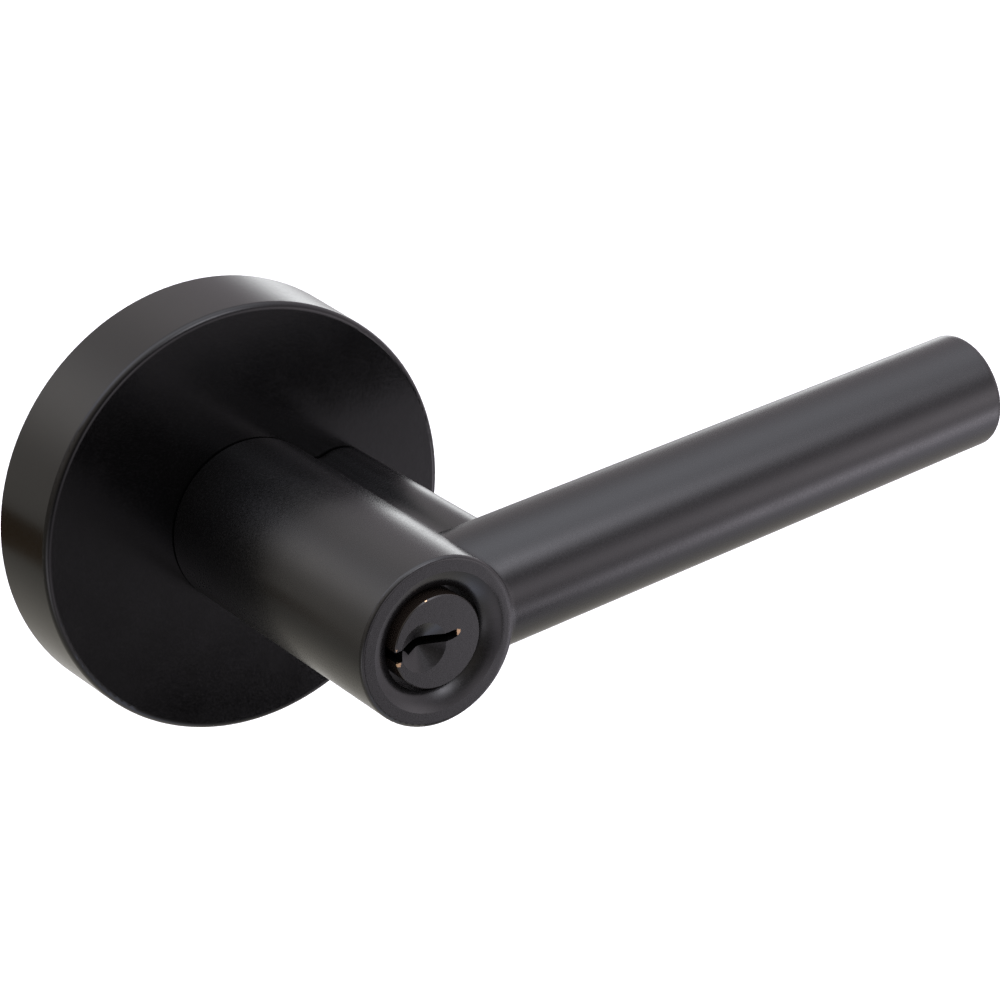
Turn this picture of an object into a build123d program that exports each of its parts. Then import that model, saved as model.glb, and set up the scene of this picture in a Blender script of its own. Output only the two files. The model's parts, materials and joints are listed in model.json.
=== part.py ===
"""Keyed lever handle lockset, outside half: rosette, lever, key cylinder and return mechanism.

Frame: the origin is on the spindle axis at the door face. The door fills y > 0, the trim stands out
towards -Y, the lever points to +X and +Z is up. Sizes are in millimetres. A depth named ..._OUT is a
distance in front of the door face, and one named ..._IN is a distance into the door.
"""
from build123d import *
import os
from math import radians, tan

os.makedirs("parts", exist_ok=True)

# ---------------------------------------------------------------- driving dimensions
# Rosette
ROSETTE_R = 33.0            # at the door
ROSETTE_FRONT_R = 32.5      # the side has a little draft
ROSETTE_OUT = 13.2
ROSETTE_FILLET = 1.0
CAVITY_R = 31.2
CAVITY_OUT = 11.7
NECK_OPENING_R = 10.2
SNAP_RING_R = 31.2
SNAP_WIRE_R = 0.6
SNAP_RING_OUT = 1.1
SNAP_RING_ARC = 350
SNAP_GROOVE_PLAY = 0.1

# Lever casting
HUB_REAR_OUT = 13.5
HUB_FACE_OUT = 62.5
HUB_REAR_R = 12.6
HUB_FACE_R = 12.1
HUB_EDGE_FILLET = 0.6
LOBE_R = 6.2                # bulge that houses the pin tower
LOBE_X = 15.2
LOBE_END_OUT = 51.0
VALLEY_FILLET = 2.4         # where the lobe runs into the hub
VALLEY_END_X = 13.65        # the two valleys lie between the lobe's inner side and here
BAR_OUT = 53.5
BAR_ROOT_R = 8.9
BAR_TIP_R = 8.7
BAR_TIP_X = 101.2
BAR_TIP_FILLET = 0.5
DISH_R = 10.0
DISH_DEPTH = 1.6
DISH_SAG = 0.18
LIP_BORE_R = 7.45           # front lip that the cylinder stops against
CYLINDER_BORE_R = 7.8
SLEEVE_BORE_R = 9.05

# Key cylinder
PLUG_FACE_OUT = 62.2
PLUG_HEAD_R = 6.65
PLUG_EDGE = 0.15
PLUG_R = 6.3
PLUG_BORE_R = 6.38
PLUG_REAR_OUT = 31.5
HOUSING_R = 7.7
HOUSING_FACE_OUT = 58.0
HOUSING_REAR_OUT = 34.0
TOWER_HALF_W = 4.0
TOWER_FRONT_OUT = 57.8
TOWER_REAR_OUT = 36.0
TOWER_CLEARANCE = 0.2
DIMPLE_R = 3.5
DIMPLE_X = -2.2
DIMPLE_ANGLE = 60           # half of the drill point's angle
KEYWAY_REAR_OUT = 36.0
# Warded outline of the keyway, along its lower side from the closed end at +X and back along its upper
# side. It runs out past the plug's rim at -X, so that the keyway is open there.
KEYWAY_OUTLINE = [(3.05, -0.3), (2.2, -0.42), (-1.9, -0.42), (-4.25, -0.62), (-4.75, 0.15),
                  (-5.2, 0.66), (-5.5, 0.6), (-5.7, -0.7), (-7.5, -0.8),
                  (-7.5, 0.95), (-5.5, 0.92), (-4.2, 1.05), (-1.7, 0.98), (1.4, 0.78), (3.05, 0.78)]
PIN_COUNT = 5
PIN_PITCH = 3.97
FIRST_PIN_OUT = 55.1
PIN_R = 1.4
PIN_TIP_X = [1.2, 2.0, 1.0, 1.8, 2.4]   # one depth of key cut for each key pin
PIN_TIP_R = 0.45
PIN_CONE = 0.95
DRIVER_CHAMFER = 0.2
DRIVER_WAIST = 0.35         # depth of the waist that resists picking
PIN_HOLE_R = 1.45
SHEAR_X = 6.0               # outer ends of the key pins
DRIVER_X = 6.55
DRIVER_LEN = 4.4
PIN_CHAMBER_X = 0.8         # bottom of the chambers in the plug
STRIP_X = 17.4
STRIP_T = 0.6
STRIP_HALF_W = 1.7
STRIP_END_GAP = 1.0
PIN_SPRING_R = 1.05
PIN_SPRING_WIRE_R = 0.17
PIN_SPRING_TURNS = 6
CLIP_R = 7.2
CLIP_GROOVE_R = 5.4
CLIP_REAR_OUT = 33.0
CLIP_T = 0.7
TAIL_W = 5.0
TAIL_T = 1.6
TAIL_FRONT_OUT = 34.2
TAIL_END_IN = 46.0
SLOT_PLAY = 0.02

# Sleeve, cam and spindle
SLEEVE_R = 9.0
SLEEVE_INNER_R = 7.6
SLEEVE_FRONT_OUT = 33.95
SLEEVE_WEB_OUT = 14.0
SLEEVE_END_IN = 3.4
JOURNAL_R = 8.2
JOURNAL_OUT = 7.2
CAM_SEAT_R = 8.9
CAM_FLAT = 8.3
CAM_REAR_OUT = 7.3
CAM_T = 1.5
CAM_FRONT_OUT = CAM_REAR_OUT + CAM_T
CAM_R = 20.5
CAM_TAB_R = 23.4
CAM_TAB_HALF_W = 2.3
CAM_PLAY = 0.05
SLEEVE_KEY_X = 11.6
SLEEVE_KEY_FRONT_OUT = 32.0
SLEEVE_KEY_REAR_OUT = 18.0
WASHER_R = 11.5
WASHER_FRONT_IN = 1.5
WASHER_T = 0.4
CIRCLIP_R = 10.2
CIRCLIP_GROOVE_R = 7.45
CIRCLIP_T = 0.9
CIRCLIP_GAP = 5.0
CIRCLIP_EAR_R = 2.5
CIRCLIP_EYE_R = 0.8
SPINDLE_W = 8.0
SPINDLE_HOLE_W = 8.1
SPINDLE_BORE_R = 3.1
SPINDLE_HEAD_R = 7.0
SPINDLE_HEAD_T = 1.5
SPINDLE_END_IN = 42.0
SPINDLE_CHAMFER = 0.9

# Lever catch
CATCH_OUT = 22.0
CATCH_R = 1.6
CATCH_HOLE_R = 1.65
RELEASE_HOLE_R = 1.9
CATCH_TIP_Z = -10.7
CATCH_HEAD_R = 2.6
CATCH_HEAD_LOW_Z = -7.0
CATCH_HEAD_TOP_Z = -6.2
CATCH_CHAMFER = 0.4
LEAF_R = 6.9
LEAF_T = 0.3
LEAF_CENTRE_Z = 0.9
LEAF_W = 4.0
LEAF_HALF_SPAN = 120

# Mounting plate and spring cage
PLATE_R = 31.1
PLATE_T = 1.6
DOOR_RING_R = 27.2          # inner edge of the ring that rests on the door
CENTRING_R = 26.5           # boss that centres the plate in a 54 mm door hole
CENTRING_IN = 1.2
RING_RELIEF = 0.6
CAGE_R = 26.5
CAGE_INNER_R = 24.0
CAGE_OUT = 9.2
COVER_T = 1.0
COVER_HOLE_R = 10.0
STOP_INNER_R = 21.0
LEVER_TURN = 45.0
TAB_AND_STOP = 13.4         # angle between the middles of the tab and a stop that touch
STOP_ANGLE = LEVER_TURN + TAB_AND_STOP
SCREW_COUNT = 3
SCREW_FIRST_ANGLE = -90
SCREW_RING_R = 26.6
SCREW_BOSS_R = 3.2
SCREW_R = 1.25
SCREW_HOLE_R = 1.28
SCREW_CLEAR_R = 1.45
SCREW_HEAD_R = 2.3
SCREW_HEAD_T = 1.1
SCREW_HEAD_CHAMFER = 0.35
SCREW_RECESS_LEN = 2.5
SCREW_RECESS_W = 0.65
SCREW_RECESS_DEPTH = 0.55
SCREW_END_OUT = 3.0
SCREW_HOLE_OUT = 2.6
BOSS_R = 12.5
BOSS_OUT = 5.8
BUSH_SEAT_R = 10.05
BUSH_R = 10.0
BUSH_BORE_R = 8.25
BUSH_FLANGE_T = 1.2
FRONT_BUSH_R = 9.95
FRONT_BUSH_BORE_R = 9.06
FRONT_BUSH_REAR_OUT = 9.3
FRONT_BUSH_FACE_OUT = 12.9
FRONT_FLANGE_R = 12.0
POST_SPACING = 38.0
POST_R = 3.5
POST_SPIGOT_R = 2.88
POST_SPIGOT_HOLE_R = 2.9
POST_END_IN = 20.0
POST_THREAD_R = 2.1
POST_THREAD_LEN = 15.0
POST_CHAMFER = 0.5

# Return spring
COIL_R = 16.0
COIL_WIRE_R = 0.8
COIL_TURNS = 2
COIL_PITCH = 1.75
COIL_START_OUT = 2.6
COIL_START_ANGLE = -90      # turns the coil so that both legs are at the bottom
LEG_HOLE_R = 1.0
LEG_A_IN = 0.8
LEG_B_OUT = 8.6

OVERCUT = 1.0


def out(distance):
    """Sketch plane in front of the door face: x is +X, y is +Z, and its normal points outwards."""
    return Plane.XZ.offset(distance)


def ring_profile(inner, outer, near_out, far_out):
    """Rectangle of a ring's section in the XY plane, to be revolved about the spindle axis."""
    with Locations(((inner + outer) / 2, -(near_out + far_out) / 2)):
        Rectangle(outer - inner, far_out - near_out)


SPINDLE_AXIS = Axis.Y
PIN_OUTS = [FIRST_PIN_OUT - PIN_PITCH * n for n in range(PIN_COUNT)]

# ---------------------------------------------------------------- rosette cover
with BuildPart() as rosette_cover:
    with BuildSketch(Plane.XY):
        with BuildLine():
            Polyline((0, 0), (ROSETTE_R, 0), (ROSETTE_FRONT_R, -ROSETTE_OUT), (0, -ROSETTE_OUT), close=True)
        make_face()
    revolve(axis=SPINDLE_AXIS)
    front_edge = rosette_cover.edges().filter_by(GeomType.CIRCLE).sort_by(Axis.Y)[0]
    fillet(front_edge, ROSETTE_FILLET)
    with BuildSketch(out(0)):
        Circle(CAVITY_R)
    extrude(amount=CAVITY_OUT, mode=Mode.SUBTRACT)
    with BuildSketch(out(CAVITY_OUT)):
        Circle(NECK_OPENING_R)
    extrude(amount=ROSETTE_OUT - CAVITY_OUT, mode=Mode.SUBTRACT)
    with BuildSketch(Plane.XY):
        ring_profile(
            CAVITY_R - OVERCUT,
            SNAP_RING_R + SNAP_WIRE_R + SNAP_GROOVE_PLAY,
            SNAP_RING_OUT - SNAP_WIRE_R - SLOT_PLAY,
            SNAP_RING_OUT + SNAP_WIRE_R + SLOT_PLAY,
        )
    revolve(axis=SPINDLE_AXIS, mode=Mode.SUBTRACT)
rosette_cover.part.label = "rosette_cover"
export_step(rosette_cover.part, "parts/rosette_cover.step")

# ---------------------------------------------------------------- mounting plate with its spring cage
with BuildPart() as mounting_plate:
    with BuildSketch(out(0)):
        Circle(PLATE_R)
    extrude(amount=PLATE_T + SNAP_WIRE_R)
    with BuildSketch(out(0)):
        Circle(CENTRING_R)
    extrude(amount=-CENTRING_IN)
    with BuildSketch(out(0)):
        Circle(CAGE_R)
        with PolarLocations(SCREW_RING_R, SCREW_COUNT, start_angle=SCREW_FIRST_ANGLE):
            Circle(SCREW_BOSS_R)
    extrude(amount=CAGE_OUT)
    with BuildSketch(out(PLATE_T)):
        Circle(CAGE_INNER_R)
    extrude(amount=CAGE_OUT - PLATE_T, mode=Mode.SUBTRACT)
    with BuildSketch(out(PLATE_T)):
        Circle(BOSS_R)
    extrude(amount=BOSS_OUT - PLATE_T)
    with BuildSketch(out(PLATE_T)):
        for angle in (90 - STOP_ANGLE, 90 + STOP_ANGLE):
            with PolarLocations((STOP_INNER_R + CAGE_INNER_R + OVERCUT) / 2, 1, start_angle=angle):
                Rectangle(CAGE_INNER_R + OVERCUT - STOP_INNER_R, 2 * CAM_TAB_HALF_W)
    extrude(amount=CAGE_OUT - PLATE_T)
    with BuildSketch(out(-CENTRING_IN)):
        Circle(BUSH_SEAT_R)
    extrude(amount=CENTRING_IN + BOSS_OUT, mode=Mode.SUBTRACT)
    with BuildSketch(out(-CENTRING_IN)):
        with GridLocations(POST_SPACING, 0, 2, 1):
            Circle(POST_SPIGOT_HOLE_R)
        with Locations((0, -COIL_R)):
            Circle(LEG_HOLE_R)
    extrude(amount=CENTRING_IN + PLATE_T, mode=Mode.SUBTRACT)
    with BuildSketch(out(SCREW_HOLE_OUT)):
        with PolarLocations(SCREW_RING_R, SCREW_COUNT, start_angle=SCREW_FIRST_ANGLE):
            Circle(SCREW_HOLE_R)
    extrude(amount=CAGE_OUT - SCREW_HOLE_OUT, mode=Mode.SUBTRACT)
    with BuildSketch(Plane.XY):
        ring_profile(CENTRING_R, DOOR_RING_R, -OVERCUT, RING_RELIEF)
        ring_profile(
            SNAP_RING_R - SNAP_WIRE_R - SNAP_GROOVE_PLAY,
            PLATE_R + OVERCUT,
            SNAP_RING_OUT - SNAP_WIRE_R - SLOT_PLAY,
            SNAP_RING_OUT + SNAP_WIRE_R + SLOT_PLAY,
        )
    revolve(axis=SPINDLE_AXIS, mode=Mode.SUBTRACT)
mounting_plate.part.label = "mounting_plate"
export_step(mounting_plate.part, "parts/mounting_plate.step")

# ---------------------------------------------------------------- snap ring that holds the rosette on
with BuildPart() as rosette_snap_ring:
    with BuildSketch(Plane.XY):
        with Locations((SNAP_RING_R, -SNAP_RING_OUT)):
            Circle(SNAP_WIRE_R)
    revolve(axis=SPINDLE_AXIS, revolution_arc=SNAP_RING_ARC)
rosette_snap_ring.part.label = "rosette_snap_ring"
export_step(rosette_snap_ring.part, "parts/rosette_snap_ring.step")

# ---------------------------------------------------------------- threaded posts into the door
with BuildPart() as mounting_posts:
    with BuildSketch(out(-POST_END_IN)):
        with GridLocations(POST_SPACING, 0, 2, 1):
            Circle(POST_R)
    extrude(amount=POST_END_IN - CENTRING_IN)
    chamfer(mounting_posts.edges().group_by(Axis.Y)[-1], POST_CHAMFER)
    with BuildSketch(out(-CENTRING_IN)):
        with GridLocations(POST_SPACING, 0, 2, 1):
            Circle(POST_SPIGOT_R)
    extrude(amount=CENTRING_IN + PLATE_T)
    with BuildSketch(out(-POST_END_IN)):
        with GridLocations(POST_SPACING, 0, 2, 1):
            Circle(POST_THREAD_R)
    extrude(amount=POST_THREAD_LEN, mode=Mode.SUBTRACT)
mounting_posts.part.label = "mounting_posts"
export_step(mounting_posts.part, "parts/mounting_posts.step")

# ---------------------------------------------------------------- cover of the spring cage
with BuildPart() as spring_cage_cover:
    with BuildSketch(out(CAGE_OUT)):
        Circle(CAGE_R)
        with PolarLocations(SCREW_RING_R, SCREW_COUNT, start_angle=SCREW_FIRST_ANGLE):
            Circle(SCREW_BOSS_R)
        Circle(COVER_HOLE_R, mode=Mode.SUBTRACT)
        with PolarLocations(SCREW_RING_R, SCREW_COUNT, start_angle=SCREW_FIRST_ANGLE):
            Circle(SCREW_CLEAR_R, mode=Mode.SUBTRACT)
    extrude(amount=COVER_T)
spring_cage_cover.part.label = "spring_cage_cover"
export_step(spring_cage_cover.part, "parts/spring_cage_cover.step")

# ---------------------------------------------------------------- screws of the cage cover
with BuildPart() as cover_screws:
    with BuildSketch(out(SCREW_END_OUT)):
        with PolarLocations(SCREW_RING_R, SCREW_COUNT, start_angle=SCREW_FIRST_ANGLE):
            Circle(SCREW_R)
    extrude(amount=CAGE_OUT + COVER_T - SCREW_END_OUT)
    with BuildSketch(out(CAGE_OUT + COVER_T)):
        with PolarLocations(SCREW_RING_R, SCREW_COUNT, start_angle=SCREW_FIRST_ANGLE):
            Circle(SCREW_HEAD_R)
    extrude(amount=SCREW_HEAD_T)
    chamfer(cover_screws.edges().group_by(Axis.Y)[0], SCREW_HEAD_CHAMFER)
    with BuildSketch(out(CAGE_OUT + COVER_T + SCREW_HEAD_T - SCREW_RECESS_DEPTH)):
        with PolarLocations(SCREW_RING_R, SCREW_COUNT, start_angle=SCREW_FIRST_ANGLE):
            Rectangle(SCREW_RECESS_LEN, SCREW_RECESS_W)
            Rectangle(SCREW_RECESS_W, SCREW_RECESS_LEN)
    extrude(amount=SCREW_RECESS_DEPTH, mode=Mode.SUBTRACT)
cover_screws.part.label = "cover_screws"
export_step(cover_screws.part, "parts/cover_screws.step")

# ---------------------------------------------------------------- rear bearing bush
with BuildPart() as bearing_bush:
    with BuildSketch(Plane.XY):
        ring_profile(BUSH_BORE_R, BUSH_R, -CENTRING_IN, BOSS_OUT)
        ring_profile(BUSH_BORE_R, BOSS_R, BOSS_OUT, BOSS_OUT + BUSH_FLANGE_T)
    revolve(axis=SPINDLE_AXIS)
bearing_bush.part.label = "bearing_bush"
export_step(bearing_bush.part, "parts/bearing_bush.step")

# ---------------------------------------------------------------- front bush in the rosette's opening
with BuildPart() as front_bush:
    with BuildSketch(Plane.XY):
        ring_profile(FRONT_BUSH_BORE_R, FRONT_BUSH_R, FRONT_BUSH_REAR_OUT, FRONT_BUSH_FACE_OUT)
        ring_profile(FRONT_BUSH_BORE_R, FRONT_FLANGE_R, CAGE_OUT + COVER_T, CAGE_OUT + 2 * COVER_T)
    revolve(axis=SPINDLE_AXIS)
front_bush.part.label = "front_bush"
export_step(front_bush.part, "parts/front_bush.step")

# ---------------------------------------------------------------- torsion return spring
COIL_END_OUT = COIL_START_OUT + COIL_PITCH * COIL_TURNS
with BuildPart() as return_spring:
    with BuildLine() as coil:
        turns = Helix(COIL_PITCH, COIL_PITCH * COIL_TURNS, COIL_R, (0, -COIL_START_OUT, 0), (0, -1, 0),
                      mode=Mode.PRIVATE)
        add(turns.rotate(Axis.Y, COIL_START_ANGLE))
    with BuildSketch(Plane(origin=coil.line @ 0, z_dir=coil.line % 0)):
        Circle(COIL_WIRE_R)
    sweep(path=coil.line, is_frenet=True)
    with BuildSketch(out(-LEG_A_IN)):
        with Locations((0, -COIL_R)):
            Circle(COIL_WIRE_R)
    extrude(amount=LEG_A_IN + COIL_START_OUT)
    with BuildSketch(out(COIL_END_OUT)):
        with Locations((0, -COIL_R)):
            Circle(COIL_WIRE_R)
    extrude(amount=LEG_B_OUT - COIL_END_OUT)
    with Locations((0, -COIL_START_OUT, -COIL_R), (0, -COIL_END_OUT, -COIL_R)):
        Sphere(COIL_WIRE_R)
return_spring.part.label = "return_spring"
export_step(return_spring.part, "parts/return_spring.step")

# ---------------------------------------------------------------- lever casting
BAR_AXIS = Axis((0, -BAR_OUT, 0), (1, 0, 0))
with BuildPart() as lever_handle:
    with BuildSketch(Plane.XY):
        with BuildLine():
            Polyline((0, -HUB_REAR_OUT), (HUB_REAR_R, -HUB_REAR_OUT), (HUB_FACE_R, -HUB_FACE_OUT),
                     (0, -HUB_FACE_OUT), close=True)
        make_face()
    revolve(axis=SPINDLE_AXIS)
    fillet(lever_handle.edges().filter_by(GeomType.CIRCLE).sort_by(Axis.Y)[0], HUB_EDGE_FILLET)
    with BuildSketch(out(HUB_REAR_OUT)):
        with Locations((LOBE_X, 0)):
            Circle(LOBE_R)
    extrude(amount=LOBE_END_OUT - HUB_REAR_OUT)
    lobe_edges = lever_handle.edges().filter_by_position(Axis.X, LOBE_X - LOBE_R, VALLEY_END_X)
    fillet(lobe_edges.sort_by(SortBy.LENGTH)[-2:], VALLEY_FILLET)
    with BuildSketch(Plane.XY):
        with BuildLine():
            Polyline((0, -BAR_OUT), (BAR_TIP_X, -BAR_OUT), (BAR_TIP_X, -BAR_OUT + BAR_TIP_R),
                     (0, -BAR_OUT + BAR_ROOT_R), close=True)
        make_face()
    revolve(axis=BAR_AXIS)
    fillet(lever_handle.edges().filter_by(GeomType.CIRCLE).sort_by(Axis.X)[-1], BAR_TIP_FILLET)
    with BuildSketch(Plane.XY):
        with BuildLine():
            Line((0, -HUB_FACE_OUT - OVERCUT), (DISH_R, -HUB_FACE_OUT - OVERCUT))
            Line((DISH_R, -HUB_FACE_OUT - OVERCUT), (DISH_R, -HUB_FACE_OUT))
            SagittaArc((DISH_R, -HUB_FACE_OUT), (LIP_BORE_R, -HUB_FACE_OUT + DISH_DEPTH), DISH_SAG)
            Line((LIP_BORE_R, -HUB_FACE_OUT + DISH_DEPTH), (LIP_BORE_R, -HOUSING_FACE_OUT))
            Line((LIP_BORE_R, -HOUSING_FACE_OUT), (0, -HOUSING_FACE_OUT))
            Line((0, -HOUSING_FACE_OUT), (0, -HUB_FACE_OUT - OVERCUT))
        make_face()
    revolve(axis=SPINDLE_AXIS, mode=Mode.SUBTRACT)
    with BuildSketch(out(HUB_REAR_OUT)):
        Circle(CYLINDER_BORE_R)
    extrude(amount=HOUSING_FACE_OUT - HUB_REAR_OUT, mode=Mode.SUBTRACT)
    with BuildSketch(out(HUB_REAR_OUT)):
        with Locations((LOBE_X / 2, 0)):
            Rectangle(LOBE_X, 2 * (TOWER_HALF_W + TOWER_CLEARANCE))
        with Locations((LOBE_X, 0)):
            Circle(TOWER_HALF_W + TOWER_CLEARANCE)
    extrude(amount=TOWER_FRONT_OUT - HUB_REAR_OUT, mode=Mode.SUBTRACT)
    with BuildSketch(out(HUB_REAR_OUT)):
        Circle(SLEEVE_BORE_R)
    extrude(amount=HOUSING_REAR_OUT - HUB_REAR_OUT, mode=Mode.SUBTRACT)
    with BuildSketch(Plane.XY.offset(-HUB_REAR_R - OVERCUT)):
        with Locations((0, -CATCH_OUT)):
            Circle(RELEASE_HOLE_R)
    extrude(amount=HUB_REAR_R + OVERCUT - CYLINDER_BORE_R, mode=Mode.SUBTRACT)
lever_handle.part.label = "lever_handle"
export_step(lever_handle.part, "parts/lever_handle.step")

# ---------------------------------------------------------------- drive sleeve that carries the lever
with BuildPart() as drive_sleeve:
    with BuildSketch(out(CAM_FRONT_OUT)):
        Circle(SLEEVE_R)
    extrude(amount=SLEEVE_FRONT_OUT - CAM_FRONT_OUT)
    with BuildSketch(out(JOURNAL_OUT)):
        Circle(CAM_SEAT_R)
        Rectangle(2 * CAM_FLAT, 2 * CAM_SEAT_R, mode=Mode.INTERSECT)
    extrude(amount=CAM_FRONT_OUT - JOURNAL_OUT)
    with BuildSketch(out(-SLEEVE_END_IN)):
        Circle(JOURNAL_R)
    extrude(amount=SLEEVE_END_IN + JOURNAL_OUT)
    with BuildSketch(out(SLEEVE_KEY_REAR_OUT)):
        with Locations((SLEEVE_KEY_X / 2, 0)):
            Rectangle(SLEEVE_KEY_X, 2 * TOWER_HALF_W)
    extrude(amount=SLEEVE_KEY_FRONT_OUT - SLEEVE_KEY_REAR_OUT)
    with BuildSketch(out(SLEEVE_WEB_OUT)):
        Circle(SLEEVE_INNER_R)
    extrude(amount=SLEEVE_FRONT_OUT - SLEEVE_WEB_OUT, mode=Mode.SUBTRACT)
    with BuildSketch(out(-SLEEVE_END_IN)):
        Rectangle(SPINDLE_HOLE_W, SPINDLE_HOLE_W)
    extrude(amount=SLEEVE_END_IN + SLEEVE_WEB_OUT, mode=Mode.SUBTRACT)
    with BuildSketch(Plane.XY):
        ring_profile(CIRCLIP_GROOVE_R, JOURNAL_R + OVERCUT, -WASHER_FRONT_IN - WASHER_T - CIRCLIP_T,
                     -WASHER_FRONT_IN - WASHER_T)
    revolve(axis=SPINDLE_AXIS, mode=Mode.SUBTRACT)
    with BuildSketch(Plane.XY.offset(-SLEEVE_R - OVERCUT)):
        with Locations((0, -CATCH_OUT)):
            Circle(CATCH_HOLE_R)
    extrude(amount=SLEEVE_R + OVERCUT, mode=Mode.SUBTRACT)
drive_sleeve.part.label = "drive_sleeve"
export_step(drive_sleeve.part, "parts/drive_sleeve.step")

# ---------------------------------------------------------------- drive cam with its stop tab
with BuildPart() as drive_cam:
    with BuildSketch(out(CAM_REAR_OUT)):
        Circle(CAM_R)
        with Locations((0, CAM_TAB_R / 2)):
            Rectangle(2 * CAM_TAB_HALF_W, CAM_TAB_R)
        with Locations((0, -COIL_R)):
            Circle(LEG_HOLE_R, mode=Mode.SUBTRACT)
        with BuildSketch(mode=Mode.SUBTRACT):
            Circle(CAM_SEAT_R + CAM_PLAY)
            Rectangle(2 * (CAM_FLAT + CAM_PLAY), 2 * (CAM_SEAT_R + CAM_PLAY), mode=Mode.INTERSECT)
    extrude(amount=CAM_T)
drive_cam.part.label = "drive_cam"
export_step(drive_cam.part, "parts/drive_cam.step")

# ---------------------------------------------------------------- thrust washer and circlip
with BuildPart() as thrust_washer:
    with BuildSketch(out(-WASHER_FRONT_IN - WASHER_T)):
        Circle(WASHER_R)
        Circle(BUSH_BORE_R, mode=Mode.SUBTRACT)
    extrude(amount=WASHER_T)
thrust_washer.part.label = "thrust_washer"
export_step(thrust_washer.part, "parts/thrust_washer.step")

with BuildPart() as sleeve_circlip:
    with BuildSketch(out(-WASHER_FRONT_IN - WASHER_T - CIRCLIP_T)):
        Circle(CIRCLIP_R)
        with Locations((0, -CIRCLIP_R / 2)):
            Rectangle(CIRCLIP_GAP, CIRCLIP_R + OVERCUT, mode=Mode.SUBTRACT)
        with Locations((-CIRCLIP_GAP, -CIRCLIP_R), (CIRCLIP_GAP, -CIRCLIP_R)):
            Circle(CIRCLIP_EAR_R)
        with Locations((-CIRCLIP_GAP, -CIRCLIP_R), (CIRCLIP_GAP, -CIRCLIP_R)):
            Circle(CIRCLIP_EYE_R, mode=Mode.SUBTRACT)
        Circle(CIRCLIP_GROOVE_R, mode=Mode.SUBTRACT)
    extrude(amount=CIRCLIP_T)
sleeve_circlip.part.label = "sleeve_circlip"
export_step(sleeve_circlip.part, "parts/sleeve_circlip.step")

# ---------------------------------------------------------------- square tube spindle
with BuildPart() as spindle:
    with BuildSketch(out(-SPINDLE_END_IN)):
        Rectangle(SPINDLE_W, SPINDLE_W)
    extrude(amount=SPINDLE_END_IN + SLEEVE_WEB_OUT)
    chamfer(spindle.faces().sort_by(Axis.Y)[-1].edges(), SPINDLE_CHAMFER)
    with BuildSketch(out(SLEEVE_WEB_OUT)):
        Circle(SPINDLE_HEAD_R)
    extrude(amount=SPINDLE_HEAD_T)
    with BuildSketch(out(-SPINDLE_END_IN)):
        Circle(SPINDLE_BORE_R)
    extrude(amount=SPINDLE_END_IN + SLEEVE_WEB_OUT + SPINDLE_HEAD_T, mode=Mode.SUBTRACT)
spindle.part.label = "spindle"
export_step(spindle.part, "parts/spindle.step")

# ---------------------------------------------------------------- lever catch and its leaf spring
with BuildPart() as lever_catch:
    with BuildSketch(Plane.XY.offset(CATCH_TIP_Z)):
        with Locations((0, -CATCH_OUT)):
            Circle(CATCH_R)
    extrude(amount=CATCH_HEAD_LOW_Z - CATCH_TIP_Z)
    chamfer(lever_catch.edges().sort_by(Axis.Z)[0], CATCH_CHAMFER)
    with BuildSketch(Plane.XY.offset(CATCH_HEAD_LOW_Z)):
        with Locations((0, -CATCH_OUT)):
            Circle(CATCH_HEAD_R)
    extrude(amount=CATCH_HEAD_TOP_Z - CATCH_HEAD_LOW_Z)
lever_catch.part.label = "lever_catch"
export_step(lever_catch.part, "parts/lever_catch.step")

with BuildPart() as catch_spring:
    with BuildLine(out(CATCH_OUT - LEAF_W / 2)) as leaf:
        CenterArc((0, LEAF_CENTRE_Z), LEAF_R, -90 - LEAF_HALF_SPAN, 2 * LEAF_HALF_SPAN)
    with BuildSketch(Plane(origin=leaf.line @ 0, x_dir=(0, 1, 0), z_dir=leaf.line % 0)):
        with Locations((-LEAF_W / 2, 0)):
            Rectangle(LEAF_W, LEAF_T)
    sweep(path=leaf.line)
catch_spring.part.label = "catch_spring"
export_step(catch_spring.part, "parts/catch_spring.step")

# ---------------------------------------------------------------- cylinder housing with its pin tower
with BuildPart() as cylinder_housing:
    with BuildSketch(out(HOUSING_REAR_OUT)):
        Circle(HOUSING_R)
    extrude(amount=HOUSING_FACE_OUT - HOUSING_REAR_OUT)
    with BuildSketch(out(TOWER_REAR_OUT)):
        with Locations((LOBE_X / 2, 0)):
            Rectangle(LOBE_X, 2 * TOWER_HALF_W)
        with Locations((LOBE_X, 0)):
            Circle(TOWER_HALF_W)
    extrude(amount=TOWER_FRONT_OUT - TOWER_REAR_OUT)
    with BuildSketch(out(HOUSING_REAR_OUT)):
        Circle(PLUG_BORE_R)
    extrude(amount=HOUSING_FACE_OUT - HOUSING_REAR_OUT, mode=Mode.SUBTRACT)
    with BuildSketch(Plane.YZ):
        with Locations([(-depth, 0) for depth in PIN_OUTS]):
            Circle(PIN_HOLE_R)
    extrude(amount=LOBE_X + TOWER_HALF_W, mode=Mode.SUBTRACT)
    with BuildSketch(Plane.YZ.offset(STRIP_X)):
        with Locations((-(TOWER_FRONT_OUT + TOWER_REAR_OUT) / 2, 0)):
            Rectangle(TOWER_FRONT_OUT - TOWER_REAR_OUT - 2 * STRIP_END_GAP, 2 * STRIP_HALF_W)
    extrude(amount=LOBE_X + TOWER_HALF_W - STRIP_X, mode=Mode.SUBTRACT)
cylinder_housing.part.label = "cylinder_housing"
export_step(cylinder_housing.part, "parts/cylinder_housing.step")

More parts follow.
